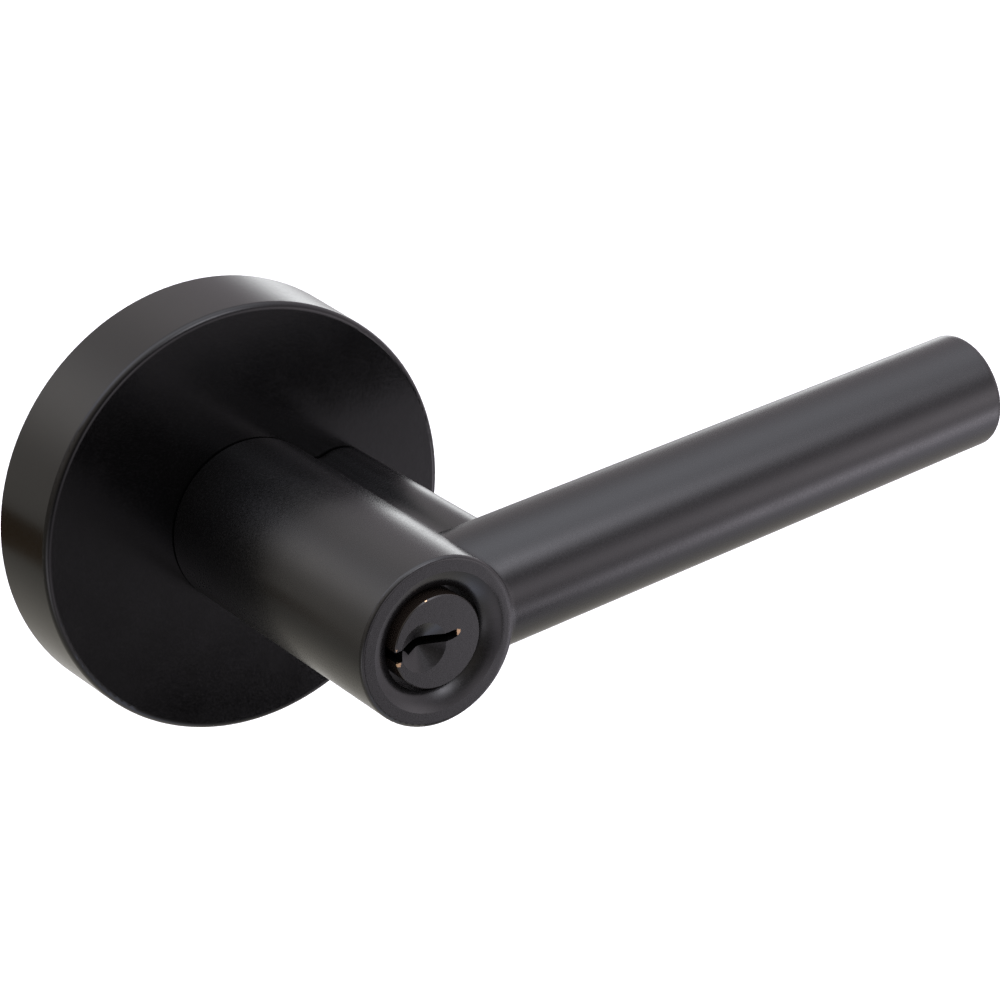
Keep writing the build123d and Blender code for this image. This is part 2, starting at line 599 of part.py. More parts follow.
# ---------------------------------------------------------------- strip that closes the pin chambers
with BuildPart() as tower_cover:
    with BuildSketch(Plane.YZ.offset(STRIP_X)):
        with Locations((-(TOWER_FRONT_OUT + TOWER_REAR_OUT) / 2, 0)):
            Rectangle(TOWER_FRONT_OUT - TOWER_REAR_OUT - 2 * STRIP_END_GAP, 2 * STRIP_HALF_W)
    extrude(amount=STRIP_T)
tower_cover.part.label = "tower_cover"
export_step(tower_cover.part, "parts/tower_cover.step")

# ---------------------------------------------------------------- key plug
DIMPLE_DEPTH = DIMPLE_R / tan(radians(DIMPLE_ANGLE))
PLUG_SHOULDER_OUT = HOUSING_FACE_OUT + SLOT_PLAY
with BuildPart() as key_plug:
    with BuildSketch(Plane.XY):
        with BuildLine():
            Polyline((0, -PLUG_REAR_OUT), (PLUG_R, -PLUG_REAR_OUT), (PLUG_R, -PLUG_SHOULDER_OUT),
                     (PLUG_HEAD_R, -PLUG_SHOULDER_OUT), (PLUG_HEAD_R, -PLUG_FACE_OUT), (0, -PLUG_FACE_OUT),
                     close=True)
        make_face()
    revolve(axis=SPINDLE_AXIS)
    chamfer(key_plug.edges().filter_by(GeomType.CIRCLE).sort_by(Axis.Y)[0], PLUG_EDGE)
    with BuildSketch(Plane(origin=(DIMPLE_X, -PLUG_FACE_OUT, 0), x_dir=(1, 0, 0), z_dir=(0, 0, 1))):
        with BuildLine():
            Polyline((0, DIMPLE_DEPTH), (DIMPLE_R, 0), (0, 0), close=True)
        make_face()
    revolve(axis=Axis((DIMPLE_X, 0, 0), (0, 1, 0)), mode=Mode.SUBTRACT)
    with BuildSketch(out(KEYWAY_REAR_OUT)):
        with BuildLine():
            Polyline(*KEYWAY_OUTLINE, close=True)
        make_face()
    extrude(amount=PLUG_FACE_OUT - KEYWAY_REAR_OUT, mode=Mode.SUBTRACT)
    with BuildSketch(Plane.YZ.offset(PIN_CHAMBER_X)):
        with Locations([(-depth, 0) for depth in PIN_OUTS]):
            Circle(PIN_HOLE_R)
    extrude(amount=PLUG_R, mode=Mode.SUBTRACT)
    with BuildSketch(Plane.XY):
        ring_profile(CLIP_GROOVE_R, PLUG_R + OVERCUT, CLIP_REAR_OUT, CLIP_REAR_OUT + CLIP_T)
    revolve(axis=SPINDLE_AXIS, mode=Mode.SUBTRACT)
    with BuildSketch(out(PLUG_REAR_OUT)):
        Rectangle(TAIL_W + SLOT_PLAY, TAIL_T + SLOT_PLAY)
    extrude(amount=TAIL_FRONT_OUT - PLUG_REAR_OUT, mode=Mode.SUBTRACT)
key_plug.part.label = "key_plug"
export_step(key_plug.part, "parts/key_plug.step")

# ---------------------------------------------------------------- pins and springs, one set per chamber
SPRING_X = DRIVER_X + DRIVER_LEN + SLOT_PLAY + PIN_SPRING_WIRE_R
SPRING_LEN = STRIP_X - SPRING_X - PIN_SPRING_WIRE_R - SLOT_PLAY
for number, depth in enumerate(PIN_OUTS, start=1):
    pin_axis = Axis((0, -depth, 0), (1, 0, 0))
    tip_x = PIN_TIP_X[number - 1]
    with BuildPart() as key_pin:
        with BuildSketch(Plane.XY):
            with BuildLine():
                Polyline((tip_x, -depth), (tip_x, -depth + PIN_TIP_R), (tip_x + PIN_CONE, -depth + PIN_R),
                         (SHEAR_X, -depth + PIN_R), (SHEAR_X, -depth), close=True)
            make_face()
        revolve(axis=pin_axis)
    key_pin.part.label = f"key_pin_{number}"
    export_step(key_pin.part, f"parts/key_pin_{number}.step")

    with BuildPart() as driver_pin:
        with BuildSketch(Plane.YZ.offset(DRIVER_X)):
            with Locations((-depth, 0)):
                Circle(PIN_R)
        extrude(amount=DRIVER_LEN)
        chamfer(driver_pin.edges().filter_by(GeomType.CIRCLE), DRIVER_CHAMFER)
        with BuildSketch(Plane.XY):
            with Locations((DRIVER_X + DRIVER_LEN / 2, -depth + PIN_R)):
                Rectangle(DRIVER_LEN / 2, 2 * DRIVER_WAIST)
        revolve(axis=pin_axis, mode=Mode.SUBTRACT)
    driver_pin.part.label = f"driver_pin_{number}"
    export_step(driver_pin.part, f"parts/driver_pin_{number}.step")

    with BuildPart() as pin_spring:
        with BuildLine() as spring_line:
            Helix(SPRING_LEN / PIN_SPRING_TURNS, SPRING_LEN, PIN_SPRING_R, (SPRING_X, -depth, 0), (1, 0, 0))
        with BuildSketch(Plane(origin=spring_line.line @ 0, z_dir=spring_line.line % 0)):
            Circle(PIN_SPRING_WIRE_R)
        sweep(path=spring_line.line, is_frenet=True)
    pin_spring.part.label = f"pin_spring_{number}"
    export_step(pin_spring.part, f"parts/pin_spring_{number}.step")

# ---------------------------------------------------------------- plug clip and tailpiece
with BuildPart() as plug_clip:
    with BuildSketch(out(CLIP_REAR_OUT)):
        Circle(CLIP_R)
        Circle(CLIP_GROOVE_R, mode=Mode.SUBTRACT)
        with Locations((0, -CLIP_R)):
            Rectangle(CLIP_GROOVE_R, CLIP_R, mode=Mode.SUBTRACT)
    extrude(amount=CLIP_T)
plug_clip.part.label = "plug_clip"
export_step(plug_clip.part, "parts/plug_clip.step")

with BuildPart() as tailpiece:
    with BuildSketch(out(-TAIL_END_IN)):
        Rectangle(TAIL_W, TAIL_T)
    extrude(amount=TAIL_END_IN + TAIL_FRONT_OUT - SLOT_PLAY)
    chamfer(tailpiece.faces().sort_by(Axis.Y)[-1].edges().filter_by(Axis.Z), TAIL_T / 2)
tailpiece.part.label = "tailpiece"
export_step(tailpiece.part, "parts/tailpiece.step")
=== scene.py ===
"""Looks of the keyed lever handle lockset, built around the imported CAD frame.

Every piece is in metres in the CAD's frame: the door fills y > 0, the trim stands out towards -Y, the
lever points to +X and +Z is up.
"""
import json
import math

import bmesh
import bpy
from mathutils import Matrix, Vector


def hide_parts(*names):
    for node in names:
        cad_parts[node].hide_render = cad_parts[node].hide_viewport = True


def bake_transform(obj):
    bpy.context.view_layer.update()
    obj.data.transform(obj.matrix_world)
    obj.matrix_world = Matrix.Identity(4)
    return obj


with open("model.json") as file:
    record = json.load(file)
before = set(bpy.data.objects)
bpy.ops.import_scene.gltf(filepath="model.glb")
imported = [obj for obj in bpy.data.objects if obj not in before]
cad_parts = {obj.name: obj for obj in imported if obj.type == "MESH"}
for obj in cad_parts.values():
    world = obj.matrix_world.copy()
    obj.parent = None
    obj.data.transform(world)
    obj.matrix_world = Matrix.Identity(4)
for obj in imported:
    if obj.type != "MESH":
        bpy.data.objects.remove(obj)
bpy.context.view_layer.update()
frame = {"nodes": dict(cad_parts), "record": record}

nodes = frame["nodes"]
MM = 0.001

# ---------------------------------------------------------------- camera
CAMERA_AZIMUTH = math.radians(-32.4)
CAMERA_ELEVATION = math.radians(26.4)
CAMERA_ROLL = math.radians(-5.7)
CAMERA_DISTANCE = 0.4157
CAMERA_RIGHT = 0.0436       # the view's centre lies this far right of the spindle axis
CAMERA_UP = -0.0013
SENSOR_MM = 36.0
LENS_MM = 101.2
CLIP_NEAR = 0.01
CLIP_FAR = 50.0


def make_camera():
    """Long lens, looking down on the trim from the left, with no shift and no depth of field."""
    back = Vector((
        math.sin(CAMERA_AZIMUTH) * math.cos(CAMERA_ELEVATION),
        -math.cos(CAMERA_AZIMUTH) * math.cos(CAMERA_ELEVATION),
        math.sin(CAMERA_ELEVATION),
    ))
    level_right = (-back).cross(Vector((0, 0, 1))).normalized()
    level_up = level_right.cross(-back)
    right = math.cos(CAMERA_ROLL) * level_right + math.sin(CAMERA_ROLL) * level_up
    up = math.cos(CAMERA_ROLL) * level_up - math.sin(CAMERA_ROLL) * level_right
    data = bpy.data.cameras.new("camera")
    data.sensor_width = SENSOR_MM
    data.lens = LENS_MM
    data.clip_start = CLIP_NEAR
    data.clip_end = CLIP_FAR
    camera = bpy.data.objects.new("camera", data)
    bpy.context.scene.collection.objects.link(camera)
    place = right * CAMERA_RIGHT + up * CAMERA_UP + back * CAMERA_DISTANCE
    turn = Matrix((right, up, back)).transposed().to_4x4()
    camera.matrix_world = Matrix.Translation(place) @ turn
    bpy.context.scene.camera = camera


# ---------------------------------------------------------------- node helpers
COLOUR_A, COLOUR_B, COLOUR_OUT = 6, 7, 2    # the mix node's sockets when it mixes colours
VECTOR_A, VECTOR_B, VECTOR_OUT = 4, 5, 1    # and when it mixes vectors
BEVEL_SAMPLES = 8


class Shader:
    """A material's node tree, with short calls for the nodes used here."""

    def __init__(self, name, colour, roughness, metallic=0.0, specular=0.5):
        self.material = bpy.data.materials.new(name)
        self.material.use_nodes = True
        self.tree = self.material.node_tree
        self.principled = self.tree.nodes["Principled BSDF"]
        self.set("Base Color", (*colour, 1))
        self.set("Roughness", roughness)
        self.set("Metallic", metallic)
        self.set("Specular IOR Level", specular)
        self.place = self.node("ShaderNodeTexCoord").outputs["Object"]

    def node(self, kind, **settings):
        """New node of that kind, with its settings."""
        made = self.tree.nodes.new(kind)
        for key, value in settings.items():
            setattr(made, key, value)
        return made

    def link(self, source, target):
        self.tree.links.new(source, target)

    def set(self, socket, value):
        self.principled.inputs[socket].default_value = value

    def noise(self, grain_mm, detail=3.0, roughness=0.5, stretch=(1, 1, 1)):
        """Noise whose grains are about grain_mm across, drawn out by stretch."""
        mapping = self.node("ShaderNodeMapping")
        mapping.inputs["Scale"].default_value = tuple(1 / (grain_mm * MM * s) for s in stretch)
        self.link(self.place, mapping.inputs["Vector"])
        texture = self.node("ShaderNodeTexNoise")
        texture.inputs["Scale"].default_value = 1.0
        texture.inputs["Detail"].default_value = detail
        texture.inputs["Roughness"].default_value = roughness
        self.link(mapping.outputs["Vector"], texture.inputs["Vector"])
        return texture.outputs["Fac"]

    def ranged(self, value, low, high, to_low, to_high, smooth=False):
        """value, taken from low..high to to_low..to_high and clamped."""
        remap = self.node("ShaderNodeMapRange", clamp=True)
        if smooth:
            remap.interpolation_type = "SMOOTHSTEP"
        limits = {"From Min": low, "From Max": high, "To Min": to_low, "To Max": to_high}
        for socket, number in limits.items():
            remap.inputs[socket].default_value = number
        self.link(value, remap.inputs["Value"])
        return remap.outputs["Result"]

    def mixed(self, factor, first, second):
        """Colour that goes from first to second with factor; each is an RGB triple or a socket."""
        mix = self.node("ShaderNodeMix", data_type="RGBA")
        self.link(factor, mix.inputs["Factor"])
        for socket, colour in ((mix.inputs[COLOUR_A], first), (mix.inputs[COLOUR_B], second)):
            if isinstance(colour, tuple):
                socket.default_value = (*colour, 1)
            else:
                self.link(colour, socket)
        return mix.outputs[COLOUR_OUT]

    def maths(self, operation, first, second):
        """Result of one sum; first and second are sockets or numbers."""
        made = self.node("ShaderNodeMath", operation=operation)
        for socket, value in zip(made.inputs, (first, second)):
            if isinstance(value, (int, float)):
                socket.default_value = value
            else:
                self.link(value, socket)
        return made.outputs["Value"]

    def bump(self, height, depth_mm, under=None):
        """Adds a relief of depth_mm to the surface, over the relief under; returns its normal."""
        made = self.node("ShaderNodeBump")
        made.inputs["Strength"].default_value = 1.0
        made.inputs["Distance"].default_value = depth_mm * MM
        self.link(height, made.inputs["Height"])
        if under is not None:
            self.link(under, made.inputs["Normal"])
        self.link(made.outputs["Normal"], self.principled.inputs["Normal"])
        return made.outputs["Normal"]

    def rounded(self, edge_mm, from_x_mm, to_x_mm):
        """Normal that rounds the corners by edge_mm, fading in from from_x_mm to to_x_mm."""
        made = self.node("ShaderNodeBevel", samples=BEVEL_SAMPLES)
        made.inputs["Radius"].default_value = edge_mm * MM
        mix = self.node("ShaderNodeMix", data_type="VECTOR")
        share = self.ranged(self.coordinate("X"), from_x_mm * MM, to_x_mm * MM, 0, 1)
        self.link(share, mix.inputs["Factor"])
        self.link(self.node("ShaderNodeNewGeometry").outputs["Normal"], mix.inputs[VECTOR_A])
        self.link(made.outputs["Normal"], mix.inputs[VECTOR_B])
        unit = self.node("ShaderNodeVectorMath", operation="NORMALIZE")
        self.link(mix.outputs[VECTOR_OUT], unit.inputs[0])
        return unit.outputs[0]

    def coordinate(self, axis):
        """The x, y or z of the surface point, in metres."""
        split = self.node("ShaderNodeSeparateXYZ")
        self.link(self.place, split.inputs[0])
        return split.outputs[axis]

    def radius(self, centre_x_mm=0.0):
        """Distance in metres from the line along Y through centre_x_mm."""
        flat = self.node("ShaderNodeMapping")
        flat.inputs["Location"].default_value = (-centre_x_mm * MM, 0, 0)
        flat.inputs["Scale"].default_value = (1, 0, 1)
        self.link(self.place, flat.inputs["Vector"])
        length = self.node("ShaderNodeVectorMath", operation="LENGTH")
        self.link(flat.outputs["Vector"], length.inputs[0])
        return length.outputs["Value"]

    def turned(self, radius, pitch_mm):
        """Uneven rings about pitch_mm apart, as a drill or a lathe leaves them."""
        rings = self.node("ShaderNodeTexNoise", noise_dimensions="1D")
        rings.inputs["Scale"].default_value = 1 / (pitch_mm * MM)
        rings.inputs["Detail"].default_value = 2.0
        self.link(radius, rings.inputs["W"])
        return rings.outputs["Fac"]

    def near(self, point_mm, reach_mm):
        """1 at a point of the frame, falling to 0 at reach_mm from it."""
        distance = self.node("ShaderNodeVectorMath", operation="DISTANCE")
        distance.inputs[1].default_value = tuple(x * MM for x in point_mm)
        self.link(self.place, distance.inputs[0])
        return self.ranged(distance.outputs["Value"], 0, reach_mm * MM, 1, 0, smooth=True)


# ---------------------------------------------------------------- materials
BLACK = (0.002, 0.002, 0.0022)
# painted shade: the rosette's darker black
ROSETTE_SHADED_BLACK = (0.001, 0.001, 0.0011)
NEUTRAL_BLACK = (0.002, 0.002, 0.002)
COAT_PATCH_MM = 7.0         # size of the patches of slightly different gloss
COAT_GRAIN_MM = 0.32
COAT_PEEL_MM = 1.1
COAT_RELIEF_MM = 0.004      # height of grain and orange peel
COAT_MOTTLE = 0.04          # how far the roughness strays either way
GRAIN_TOP_LIGHTER = 2.5     # the grain's tops are this much lighter than the coat
NOISE_LOW, NOISE_HIGH = 0.3, 0.7
CORNERS_FROM_X_MM = 8.0     # right of here hub, tower and bar run into each other
CORNERS_TO_X_MM = 11.0


def powder_coat(name, colour, roughness, edge_mm=0.0, specular=0.5):
    """Matt black powder coat: orange peel, fine grain and a slightly uneven gloss."""
    s = Shader(name, colour, roughness, specular=specular)
    patches = s.noise(COAT_PATCH_MM, detail=4)
    grain = s.noise(COAT_GRAIN_MM, detail=3, roughness=0.65)
    peel = s.noise(COAT_PEEL_MM, detail=2)
    broad = s.ranged(patches, NOISE_LOW, NOISE_HIGH, -COAT_MOTTLE / 2, COAT_MOTTLE / 2)
    fine = s.ranged(grain, NOISE_LOW, NOISE_HIGH, roughness - COAT_MOTTLE, roughness + COAT_MOTTLE)
    s.link(s.maths("ADD", broad, fine), s.principled.inputs["Roughness"])
    lighter = tuple(GRAIN_TOP_LIGHTER * c for c in colour)
    tops = s.ranged(grain, 0.5, 0.75, 0, 1)
    s.link(s.mixed(tops, colour, lighter), s.principled.inputs["Base Color"])
    softened = s.rounded(edge_mm, CORNERS_FROM_X_MM, CORNERS_TO_X_MM) if edge_mm else None
    s.bump(grain, COAT_RELIEF_MM, under=s.bump(peel, COAT_RELIEF_MM, under=softened))
    return s


# Spots of bare brass on the plug, three where the coat is rubbed through and one painted highlight:
# point, reach and how bare it is
WORN_AND_GLINT_SPOTS = (
    ((3.15, -62.2, 0.3), 0.85, 1.0),     # closed end of the keyway, where keys strike
    ((-6.3, -62.2, -0.95), 0.75, 1.0),   # lower corner of the notch in the rim
    ((-6.35, -62.2, 1.15), 0.45, 0.7),   # upper corner of it
    ((-1.1, -62.1, 6.6), 0.4, 0.9),      # painted highlight: bare brass where the upper edge catches the light
)
PLUG_ROUGHNESS = 0.27
PLUG_SIDE_R = 0.00662
SIDE_FADE = 0.00003         # the coat turns brown over this much of the radius
DIMPLE_CENTRE_X_MM = -2.2
DIMPLE_EDGE_R = 0.00345
DIMPLE_FADE = 0.00005
DRILL_PITCH_MM = 0.16
DRILL_RELIEF_MM = 0.003
CHIP_MM = 0.25
CHIP_RAGGED = 0.25          # how far the noise moves a spot's edge
BARE_SMOOTHER = -0.08       # the bare brass is polished by use; the painted highlight spot is as smooth
BARE_BRASS = (0.45, 0.30, 0.18)
RUBBED_COAT = (0.022, 0.017, 0.014)


def plug_coat():
    """Black coat over brass, rubbed brown on the plug's side and rubbed through to bare brass at the
    keyway's ends, with a painted highlight of bare brass on its upper edge.
    """
    s = powder_coat("coated_brass", NEUTRAL_BLACK, PLUG_ROUGHNESS)
    shader = s.principled
    coat_colour = shader.inputs["Base Color"].links[0].from_socket
    coat_gloss = shader.inputs["Roughness"].links[0].from_socket
    coat_relief = shader.inputs["Normal"].links[0].from_socket
    chips = s.noise(CHIP_MM, detail=3)
    worn_and_glint = None
    # The spots hold real wear and one painted highlight on the plug's upper edge, drawn as bare brass.
    for point, reach, amount in WORN_AND_GLINT_SPOTS:
        spot = s.maths("MULTIPLY", s.near(point, reach), amount)
        worn_and_glint = spot if worn_and_glint is None else s.maths("MAXIMUM", worn_and_glint, spot)
    ragged = s.maths("ADD", worn_and_glint, s.ranged(chips, NOISE_LOW, NOISE_HIGH, -CHIP_RAGGED, CHIP_RAGGED))
    bare = s.maths("MULTIPLY", s.ranged(ragged, 0.42, 0.58, 0, 1), s.ranged(worn_and_glint, 0.05, 0.2, 0, 1))
    side = s.ranged(s.radius(), PLUG_SIDE_R - SIDE_FADE, PLUG_SIDE_R, 0, 1)
    coat = s.mixed(side, coat_colour, RUBBED_COAT)
    s.link(s.mixed(bare, coat, BARE_BRASS), shader.inputs["Base Color"])
    s.link(bare, shader.inputs["Metallic"])
    gloss = s.maths("ADD", coat_gloss, s.maths("MULTIPLY", bare, BARE_SMOOTHER))
    s.link(gloss, shader.inputs["Roughness"])
    across = s.radius(DIMPLE_CENTRE_X_MM)
    inside = s.ranged(across, DIMPLE_EDGE_R - DIMPLE_FADE, DIMPLE_EDGE_R, 1, 0)
    marks = s.maths("MULTIPLY", s.turned(across, DRILL_PITCH_MM), inside)
    s.bump(marks, DRILL_RELIEF_MM, under=coat_relief)
    return s


STAIN_MM = 5.0
STAIN_DARKER = 0.86
MARKS_SMOOTHER = -0.08      # tool marks change the roughness by this much
MARKS_ROUGHER = 0.1


def plain_metal(name, colour, roughness, metallic=1.0, grain_mm=0.3, relief_mm=0.002,
                stretch=(1, 1, 1)):
    """Bare or plated metal with tool marks or casting grain."""
    s = Shader(name, colour, roughness, metallic)
    marks = s.noise(grain_mm, detail=4, stretch=stretch)
    stains = s.noise(STAIN_MM, detail=3)
    gloss = s.ranged(marks, 0.25, 0.75, roughness + MARKS_SMOOTHER, roughness + MARKS_ROUGHER)
    s.link(gloss, s.principled.inputs["Roughness"])
    darker = tuple(STAIN_DARKER * c for c in colour)
    stained = s.mixed(s.ranged(stains, 0.35, 0.7, 0, 1), colour, darker)
    s.link(stained, s.principled.inputs["Base Color"])
    s.bump(marks, relief_mm)
    return s


TURNED_BRASS = {"colour": (0.72, 0.50, 0.22), "roughness": 0.30, "stretch": (1, 8, 1)}
COATED_FACE_Y = -0.0575     # the housing's front face lies in front of this
FACE_FADE = 0.0001


def housing_brass():
    """Turned brass, blackened on the front face that shows in the gap round the plug."""
    s = plain_metal("housing_brass", **TURNED_BRASS)
    brass = s.principled.inputs["Base Color"].links[0].from_socket
    face = s.ranged(s.coordinate("Y"), COATED_FACE_Y - FACE_FADE, COATED_FACE_Y, 1, 0)
    s.link(s.mixed(face, brass, NEUTRAL_BLACK), s.principled.inputs["Base Color"])
    s.link(s.maths("SUBTRACT", 1.0, face), s.principled.inputs["Metallic"])
    return s


NYLON_CLEAR = (0.80, 0.78, 0.72)
NYLON_DULL = (0.70, 0.68, 0.60)
NYLON_SCATTER = (0.002, 0.0018, 0.0015)
NYLON_CLOUD_MM = 2.5
NYLON_GRAIN_MM = 0.2
NYLON_RELIEF_MM = 0.003


def nylon():
    """Natural moulded nylon, a little translucent and faintly cloudy."""
    s = Shader("nylon", (0.78, 0.76, 0.70), 0.48)
    s.set("Subsurface Weight", 0.15)
    s.set("Subsurface Radius", NYLON_SCATTER)
    cloudy = s.mixed(s.noise(NYLON_CLOUD_MM), NYLON_CLEAR, NYLON_DULL)
    s.link(cloudy, s.principled.inputs["Base Color"])
    s.bump(s.noise(NYLON_GRAIN_MM), NYLON_RELIEF_MM)
    return s


materials = {
    "black_coating": powder_coat("satin_black_coat", BLACK, 0.27, edge_mm=1.1, specular=0.49),
    "coated_brass": plug_coat(),
    "brass": plain_metal("turned_brass", **TURNED_BRASS),
    "zinc_casting": plain_metal("zinc_casting", (0.36, 0.37, 0.39), 0.55, grain_mm=0.6,
                                relief_mm=0.012),
    "plated_steel": plain_metal("zinc_plated_steel", (0.60, 0.61, 0.63), 0.32),
    "spring_steel": plain_metal("spring_wire", (0.20, 0.20, 0.21), 0.28, stretch=(4, 4, 1)),
    "nylon": nylon(),
}
# The rosette gets a copy of the coat whose lower roughness is its own glossier finish; its darker
# colour and weaker reflection are painted shade on its face.
rosette_shaded_coat = powder_coat("rosette_shaded_coat", ROSETTE_SHADED_BLACK, 0.20, specular=0.34)

# ---------------------------------------------------------------- light and floor
# Soft lights of the white studio around the object: direction to the light, how tight its patch is
# (the power of the cosine) and its colour and strength.
SOFT_LIGHTS = {
    "key_above_front": ((0.33, -0.62, 0.71), 45, (5.4, 5.3, 5.8)),
    "panel_overhead": ((0.2, -0.05, 0.98), 6, (2.2, 2.3, 2.55)),
    "panel_above_left": ((-0.47, 0.31, 0.83), 12, (1.7, 1.8, 2.3)),
    "wall_front": ((0.13, -0.99, 0.0), 30, (1.9, 1.75, 1.9)),
    "wall_front_right": ((0.64, -0.76, -0.05), 30, (2.1, 1.95, 2.1)),
    "floor_glow_front": ((-0.23, -0.84, -0.50), 20, (1.2, 1.1, 1.25)),
    "floor_glow_front_right": ((0.60, -0.60, -0.53), 70, (3.4, 3.2, 3.55)),
    "floor_glow_right": ((0.65, -0.35, -0.67), 30, (0.55, 0.55, 0.7)),
    "floor_glow_left": ((-0.81, -0.47, -0.36), 30, (1.95, 1.9, 2.1)),
    "floor_glow_below": ((-0.12, -0.37, -0.92), 30, (0.5, 0.6, 1.0)),
    "wash_right": ((0.97, 0.0, 0.23), 2, (1.2, 1.1, 1.2)),
    "wash_left": ((-0.61, 0.0, 0.79), 2, (1.0, 0.9, 0.8)),
    "wash_below": ((-0.22, 0.14, -0.97), 2, (1.0, 0.95, 0.85)),
    "panel_behind_right": ((0.66, 0.75, -0.02), 80, (2.7, 2.8, 2.8)),
    "door_glow_below": ((0.40, 0.75, -0.52), 20, (0.65, 0.65, 0.65)),
    "panel_behind_left": ((-0.42, 0.79, 0.44), 25, (0.97, 0.93, 0.88)),
    "wall_behind_left": ((-0.62, 0.78, 0.0), 40, (0.42, 0.40, 0.37)),
    "panel_behind_above": ((0.18, 0.86, 0.48), 12, (0.75, 0.7, 0.7)),
}
PAPER_WHITE = 1.0
FLOOR_SIZE = 30.0
FLOOR_Z = -0.9
FLOOR_WHITE = 0.95

# Cards that only the object's reflections show: place and size in metres, and the colour of their
# glow. The black one keeps the floor's light off the rosette's lower face, the brown one stands
# behind on the left.
CARDS = {
    "black_flag": ((0.096, -0.200, -0.172), (0.075, 0.062), (0.0, 0.0, 0.0)),
    "brown_card": ((-0.088, 0.075, -0.020), (0.036, 0.026), (0.13, 0.085, 0.045)),
}


def make_surround():
    """White surround for the camera; for the object, the sum of the soft lights."""
    world = bpy.data.worlds.new("studio")
    world.use_nodes = True
    tree = world.node_tree

    def vector(operation, first, second=None):
        made = tree.nodes.new("ShaderNodeVectorMath")
        made.operation = operation
        for socket, value in zip(made.inputs, (first, second)):
            if isinstance(value, bpy.types.NodeSocket):
                tree.links.new(value, socket)
            elif value is not None:
                socket.default_value = value
        return made

    place = tree.nodes.new("ShaderNodeTexCoord").outputs["Generated"]
    towards = vector("NORMALIZE", place).outputs[0]

    def patch(direction, tightness, colour):
        """Colour that is strongest along direction and falls off with the power tightness."""
        value = vector("DOT_PRODUCT", towards, Vector(direction).normalized()).outputs["Value"]
        for operation, number in (("MAXIMUM", 0.0), ("POWER", tightness)):
            step = tree.nodes.new("ShaderNodeMath")
            step.operation = operation
            step.inputs[1].default_value = number
            tree.links.new(value, step.inputs[0])
            value = step.outputs[0]
        scaled = vector("SCALE", colour)
        tree.links.new(value, scaled.inputs["Scale"])
        return scaled.outputs[0]

    total = None
    for light in SOFT_LIGHTS.values():
        glow = patch(*light)
        total = glow if total is None else vector("ADD", total, glow).outputs[0]
    lit = tree.nodes["Background"]
    tree.links.new(total, lit.inputs["Color"])
    paper = tree.nodes.new("ShaderNodeBackground")
    paper.inputs["Color"].default_value = (PAPER_WHITE, PAPER_WHITE, PAPER_WHITE, 1)
    choose = tree.nodes.new("ShaderNodeMixShader")
    for_camera = tree.nodes.new("ShaderNodeLightPath").outputs["Is Camera Ray"]
    for source, socket in zip((for_camera, lit.outputs[0], paper.outputs[0]), choose.inputs):
        tree.links.new(source, socket)
    tree.links.new(choose.outputs[0], tree.nodes["World Output"].inputs["Surface"])
    bpy.context.scene.world = world


def dull(name, colour, glow=(0, 0, 0)):
    """Material without any shine: a colour and a glow."""
    material = bpy.data.materials.new(name)
    material.use_nodes = True
    shader = material.node_tree.nodes["Principled BSDF"]
    shader.inputs["Base Color"].default_value = (*colour, 1)
    shader.inputs["Roughness"].default_value = 0.9
    shader.inputs["Specular IOR Level"].default_value = 0.0
    shader.inputs["Emission Color"].default_value = (*glow, 1)
    shader.inputs["Emission Strength"].default_value = 1.0
    return material


def make_floor():
    """Pale paper well below the object, which neither shades nor is reflected in it."""
    bpy.ops.mesh.primitive_plane_add(size=FLOOR_SIZE, location=(0, 0, FLOOR_Z))
    floor = bpy.context.object
    floor.name = "floor"
    floor.data.materials.append(dull("floor_paper", (FLOOR_WHITE, FLOOR_WHITE, FLOOR_WHITE)))
    floor.visible_glossy = False
    floor.visible_diffuse = False
    floor.visible_shadow = False


def make_card(name, centre, size, glow):
    """Small card that faces the origin, shows only in reflections and glows with one colour."""
    bpy.ops.mesh.primitive_plane_add(size=1, location=centre)
    card = bpy.context.object
    card.name = name
    card.scale = (*size, 1)
    card.rotation_euler = Vector(centre).to_track_quat("Z", "Y").to_euler()
    card.data.materials.append(dull(name, (0, 0, 0), glow))
    card.visible_camera = False
    card.visible_diffuse = False
    card.visible_shadow = False


# ---------------------------------------------------------------- springs
# In millimetres. The coil's legs stand in the plate and in the cam, the leaf lies in the drive sleeve.
COIL_R = 16.0
COIL_WIRE_R = 0.8
COIL_START_Y = -2.6
COIL_END_Y = -6.1
COIL_TURNS = 2
COIL_BEND = 1.0             # height of the bend between a leg and the first or last turn
REAR_LEG_Y = (0.8, 0.0, -0.8, COIL_START_Y + COIL_BEND)
FRONT_LEG_Y = (COIL_END_Y - COIL_BEND, -7.8, -8.6)
STEPS_PER_TURN = 72
WIRE_SIDES = 16
LEAF_R = 6.9
LEAF_T = 0.3
LEAF_W = 4.0
LEAF_Y = -22.0
LEAF_CENTRE_Z = 0.9
LEAF_HALF_SPAN = math.radians(120)
LEAF_STEPS = 96


def smooth_object(name, mesh):
    """Links the mesh as a piece, shaded smooth."""
    mesh.normal_update()
    data = bpy.data.meshes.new(name)
    mesh.to_mesh(data)
    mesh.free()
    for polygon in data.polygons:
        polygon.use_smooth = True
    piece = bpy.data.objects.new(name, data)
    bpy.context.scene.collection.objects.link(piece)
    data.materials.append(materials["spring_steel"].material)
    return piece


def skin(mesh, rings):
    """Closed skin over rings of vertices, with flat ends."""
    for first, second in zip(rings, rings[1:]):
        for k, corner in enumerate(first):
            following = (k + 1) % len(first)
            mesh.faces.new((corner, first[following], second[following], second[k]))
    mesh.faces.new(tuple(reversed(rings[0])))
    mesh.faces.new(tuple(rings[-1]))


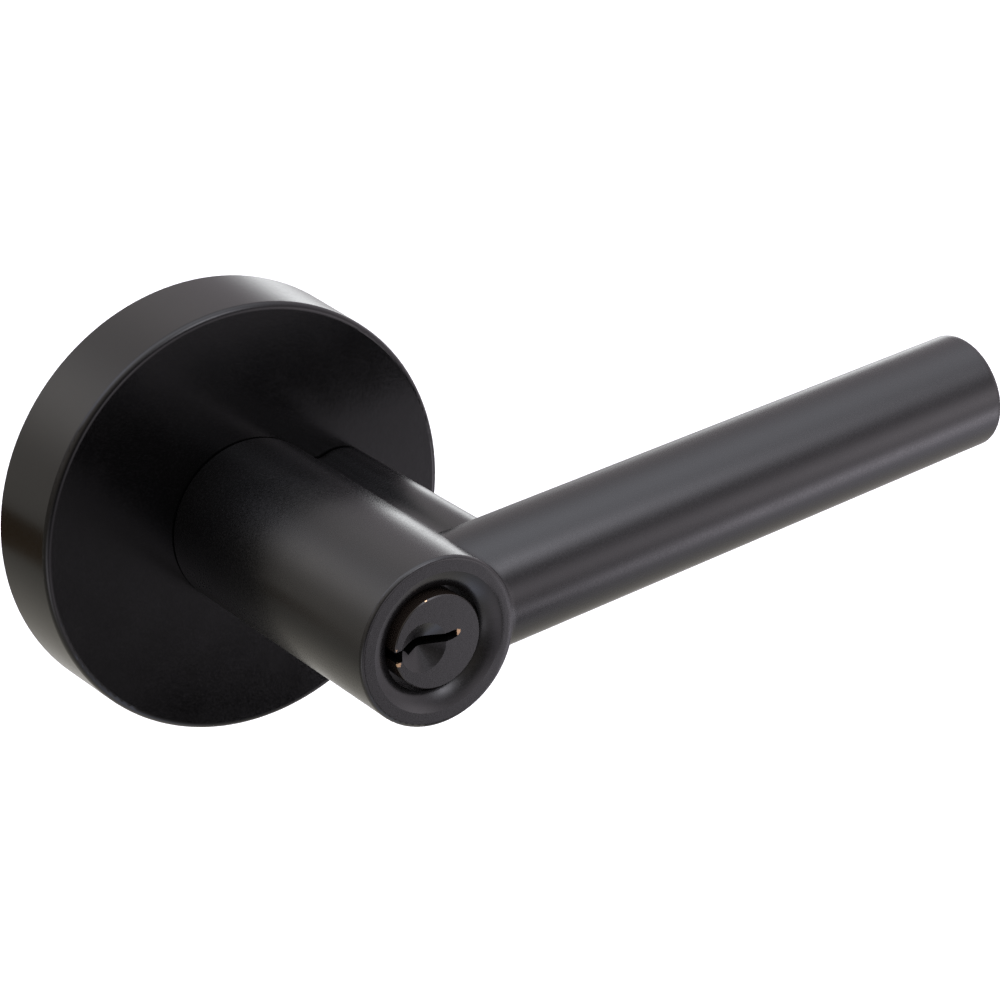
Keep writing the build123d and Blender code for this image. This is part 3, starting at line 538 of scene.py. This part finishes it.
def wire_tube(name, path, wire_r):
    """Closed round wire along path, points in millimetres, with frames carried without twist."""
    mesh = bmesh.new()
    points = [Vector(p) for p in path]
    side = Vector((1, 0, 0))
    rings = []
    for i, point in enumerate(points):
        along = (points[min(i + 1, len(points) - 1)] - points[max(i - 1, 0)]).normalized()
        side = (side - along * side.dot(along)).normalized()
        across = along.cross(side)
        ring = []
        for k in range(WIRE_SIDES):
            turn = 2 * math.pi * k / WIRE_SIDES
            outwards = math.cos(turn) * side + math.sin(turn) * across
            ring.append(mesh.verts.new((point + wire_r * outwards) * MM))
        rings.append(ring)
    skin(mesh, rings)
    return smooth_object(name, mesh)


def coil_path():
    """Rear leg out of the plate, the turns, and the front leg into the cam, bent where they meet."""
    path = [(0, y, -COIL_R) for y in REAR_LEG_Y]
    steps = COIL_TURNS * STEPS_PER_TURN
    for i in range(2, steps - 1):
        share = i / steps
        turn = -math.pi / 2 + 2 * math.pi * COIL_TURNS * share
        y = COIL_START_Y + (COIL_END_Y - COIL_START_Y) * share
        path.append((COIL_R * math.cos(turn), y, COIL_R * math.sin(turn)))
    path += [(0, y, -COIL_R) for y in FRONT_LEG_Y]
    return path


def leaf_strip():
    """Open ring of flat spring strip inside the drive sleeve."""
    mesh = bmesh.new()
    rings = []
    for i in range(LEAF_STEPS + 1):
        turn = -math.pi / 2 - LEAF_HALF_SPAN + 2 * LEAF_HALF_SPAN * i / LEAF_STEPS
        ring = []
        for out, along in ((-0.5, -0.5), (-0.5, 0.5), (0.5, 0.5), (0.5, -0.5)):
            radius = LEAF_R + out * LEAF_T
            ring.append(mesh.verts.new((
                radius * math.cos(turn) * MM,
                (LEAF_Y + along * LEAF_W) * MM,
                (LEAF_CENTRE_Z + radius * math.sin(turn)) * MM,
            )))
        rings.append(ring)
    skin(mesh, rings)
    bmesh.ops.recalc_face_normals(mesh, faces=mesh.faces)
    return smooth_object("catch_leaf_spring", mesh)


def make_springs():
    """Smooth meshes in place of the CAD's springs, which are hidden: the coil, which twists between
    plate and cam, and the leaf, squeezed between its ends and the catch.
    """
    coil = wire_tube("coil_return_spring", coil_path(), COIL_WIRE_R)
    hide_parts("return_spring")
    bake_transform(coil)
    leaf = leaf_strip()
    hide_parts("catch_spring")
    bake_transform(leaf)


# ---------------------------------------------------------------- the whole scene
make_camera()
make_surround()
make_floor()
for card_name, card in CARDS.items():
    make_card(card_name, *card)
bpy.context.scene.view_settings.view_transform = "Standard"
slots = {part["node"]: part["material_slot"] for part in frame["record"]["subparts"]}
for name, node in nodes.items():
    node.data.materials.clear()
    node.data.materials.append(materials[slots[name]].material)
make_springs()
# painted shade: the rosette takes its darker, less reflective copy of the coat
nodes["rosette_cover"].data.materials[0] = rosette_shaded_coat.material
nodes["cylinder_housing"].data.materials[0] = housing_brass().material
